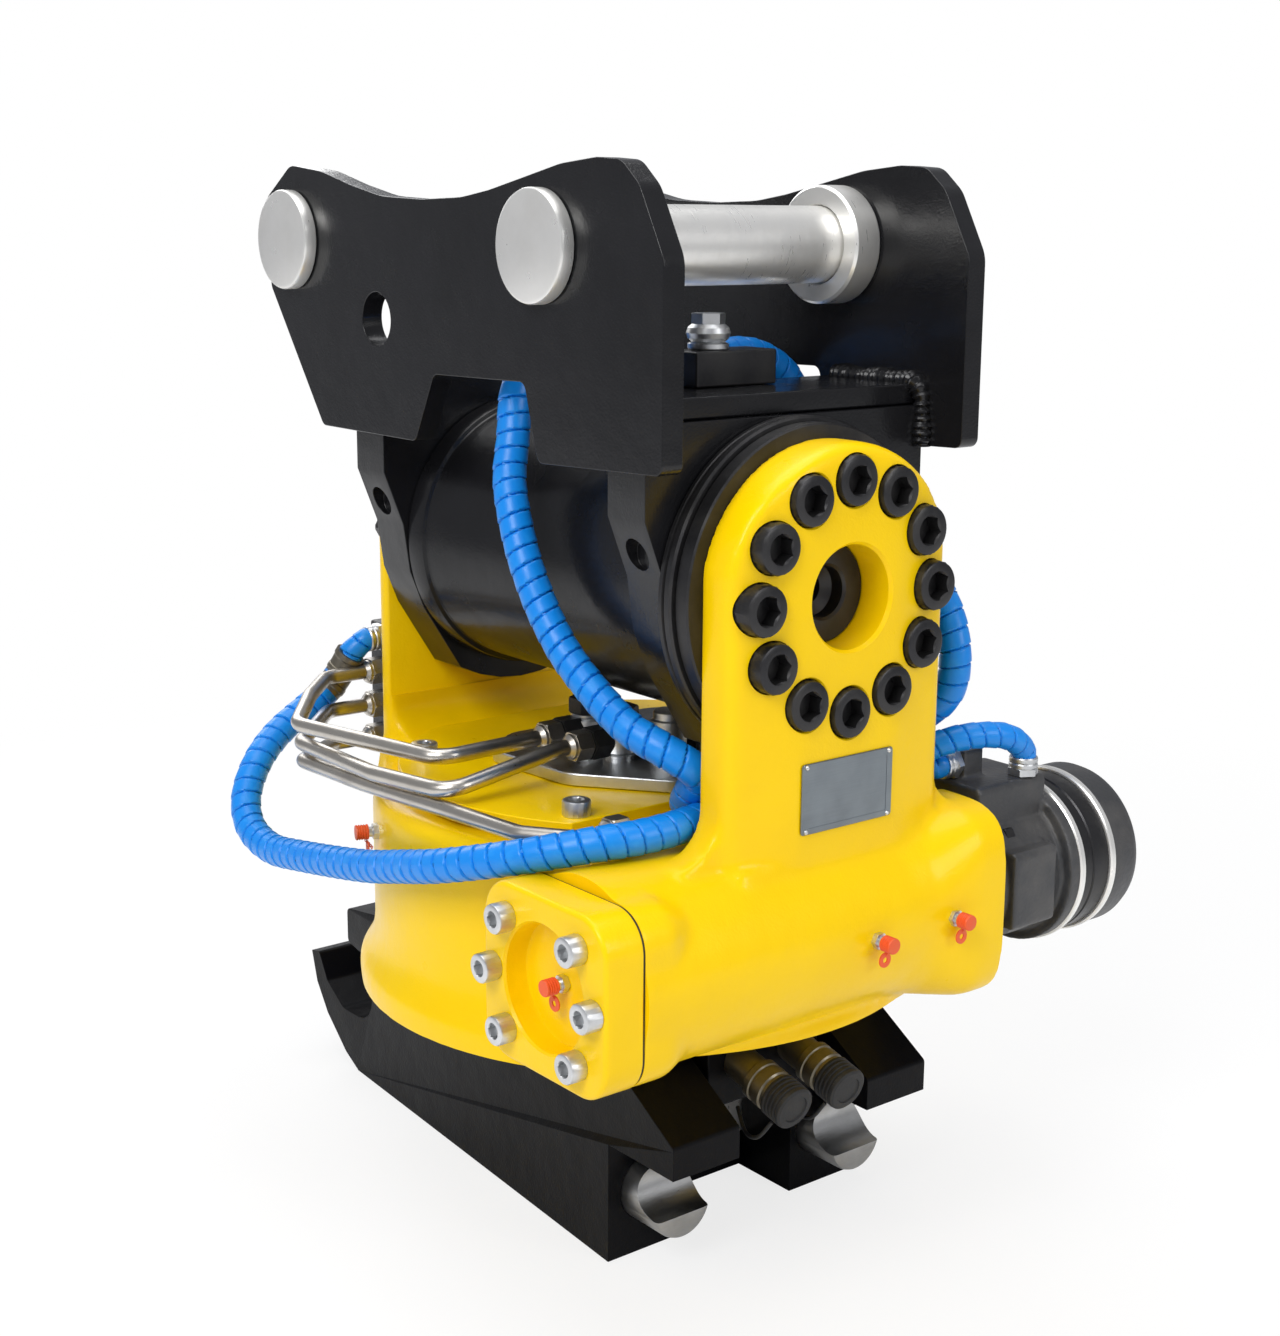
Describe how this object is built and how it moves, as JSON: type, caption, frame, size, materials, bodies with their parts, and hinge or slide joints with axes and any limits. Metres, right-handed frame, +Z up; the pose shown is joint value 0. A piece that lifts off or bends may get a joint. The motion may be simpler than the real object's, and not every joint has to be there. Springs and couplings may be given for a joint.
{
  "type": "tiltrotator",
  "caption": "Tiltrotator for an excavator arm: pin-on hitch, sideways tilt on a round actuator, endless worm-driven rotation, and a lower hook coupler with sliding lock tongues.",
  "frame": {"origin": "slewing axis at the flat underside of the lower coupler", "axes": "+Z up along the slewing axis; +X towards the ear with the worm case in front, along the tilt axis; the worm's cap is on the -Y side and its motor on the +Y side"},
  "size_m": [0.4955, 0.441, 0.6289],
  "materials": {
    "cast_yellow": "glossy enamel on casting",
    "satin_black": "satin black paint",
    "bright_steel": "zinc plated or ground",
    "bronze": "machined bronze",
    "black_oxide": "black oxide",
    "blue_guard": "spiral guard",
    "rubber": "matte",
    "motor_casting": "bare dark casting",
    "orange_cap": "moulded"
  },
  "bodies": {
    "coupler": {"coupler_body": "satin_black", "worm_wheel": "bronze", "swivel_sleeve": "bright_steel", "lock_cylinder": "bright_steel", "feed_block": "satin_black", "coupling_near": "motor_casting", "coupling_far": "motor_casting", "dust_cap_near": "rubber", "dust_cap_far": "rubber"},
    "lock": {"lock_crosshead": "bright_steel", "lock_tongue_near": "bright_steel", "lock_tongue_far": "bright_steel"},
    "housing": {"rotor_housing": "cast_yellow", "top_cover": "cast_yellow", "base_ring": "satin_black", "lower_bearing": "bronze", "base_seal": "rubber", "upper_bearing": "bronze", "worm_cap": "cast_yellow", "worm_bearing_near": "bronze", "worm_bearing_far": "bronze", "motor_port_housing": "motor_casting", "motor_gear_ring": "bright_steel", "motor_end_cap": "motor_casting", "tilt_shaft": "black_oxide", "tilt_end_flange": "black_oxide", "torque_plate": "bright_steel", "swivel_pin": "bright_steel", "pipe_upper": "bright_steel", "pipe_middle": "bright_steel", "pipe_lower": "bright_steel", "rear_port_block": "motor_casting", "front_port_block": "black_oxide", "hose_long": "blue_guard", "hose_motor_far": "blue_guard", "hose_motor_near": "blue_guard", "test_point_cap": "orange_cap", "test_point_side": "orange_cap", "nameplate": "bright_steel"},
    "worm": {"worm": "bright_steel", "motor_shaft": "bright_steel"},
    "hitch": {"side_plate_near": "satin_black", "side_plate_far": "satin_black", "end_plate_front": "satin_black", "end_plate_rear": "satin_black", "cross_plate": "satin_black", "tilt_barrel": "satin_black", "tilt_gland": "black_oxide", "spline_ring": "bright_steel", "hitch_pin_front": "bright_steel", "hitch_pin_rear": "bright_steel", "collar_front_near": "bright_steel", "collar_front_far": "bright_steel", "collar_rear_near": "bright_steel", "collar_rear_far": "bright_steel", "hitch_port_block": "satin_black", "hose_tilt_near": "blue_guard", "hose_tilt_far": "blue_guard"},
    "tilt_piston": {"tilt_piston": "bright_steel"}
  },
  "joints": [
    {"name": "slew", "type": "hinge", "parent": "coupler", "child": "housing", "pos_m": [0, 0, 0], "axis": [0, 0, 1], "continuous": true},
    {"name": "worm_turn", "type": "hinge", "parent": "housing", "child": "worm", "pos_m": [0.146, 0, 0.205], "axis": [0, 1, 0], "continuous": true},
    {"name": "tilt", "type": "hinge", "parent": "housing", "child": "hitch", "pos_m": [0, 0, 0.398], "axis": [1, 0, 0], "range_deg": [-40, 40], "deforming": ["hose_tilt_near", "hose_tilt_far"]},
    {"name": "piston_stroke", "type": "slide", "parent": "hitch", "child": "tilt_piston", "axis": [1, 0, 0], "range_m": [-0.037, 0.037]},
    {"name": "lock_stroke", "type": "slide", "parent": "coupler", "child": "lock", "axis": [1, 0, 0], "range_m": [-0.035, 0]}
  ],
  "couplings": [
    {"joint": "worm_turn", "follows": "slew", "ratio": 40},
    {"joint": "piston_stroke", "follows": "tilt", "m_per_rad": 0.052521}
  ]
}
